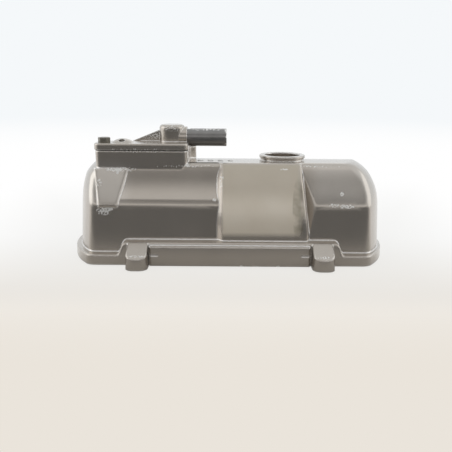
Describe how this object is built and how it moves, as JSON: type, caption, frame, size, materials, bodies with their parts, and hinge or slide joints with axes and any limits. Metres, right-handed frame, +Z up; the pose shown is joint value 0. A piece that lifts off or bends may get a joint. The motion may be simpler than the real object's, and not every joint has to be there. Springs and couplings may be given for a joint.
{
  "type": "engine valve cover",
  "caption": "Cast engine valve cover with sculpted crown, breather box with lid and hose pipe, oil filler neck and sealed flange.",
  "frame": {"origin": "middle of the cover's plan box, on the plane that the flange seal rests on", "axes": "+X along the cover towards the oil filler end, -Y to the front with the two lugs, +Z up"},
  "size_m": [0.348, 0.171, 0.1427],
  "materials": {
    "painted_casting": "satin bronze-silver metallic paint",
    "seal_rubber": "matte",
    "gasket_fibre": "matte",
    "pipe_steel": "dark phosphated steel",
    "zinc_steel": "dulled zinc plating",
    "baffle_steel": "pressed sheet",
    "mesh_steel": "knitted wire"
  },
  "bodies": {
    "root": {"cover_casting": "painted_casting", "breather_lid": "painted_casting", "flange_seal": "seal_rubber", "breather_gasket": "gasket_fibre", "outlet_pipe": "pipe_steel", "lid_bolt_front": "zinc_steel", "lid_bolt_rear": "zinc_steel", "lid_bolt_side": "zinc_steel", "lid_washer_front": "zinc_steel", "lid_washer_rear": "zinc_steel", "lid_washer_side": "zinc_steel", "baffle_plate": "baffle_steel", "baffle_screw_1": "zinc_steel", "baffle_screw_2": "zinc_steel", "baffle_screw_3": "zinc_steel", "baffle_screw_4": "zinc_steel", "demister_pad": "mesh_steel", "hold_down_grommet_left": "seal_rubber", "hold_down_grommet_middle": "seal_rubber", "hold_down_grommet_right": "seal_rubber", "hold_down_sleeve_left": "zinc_steel", "hold_down_sleeve_middle": "zinc_steel", "hold_down_sleeve_right": "zinc_steel"}
  },
  "joints": []
}
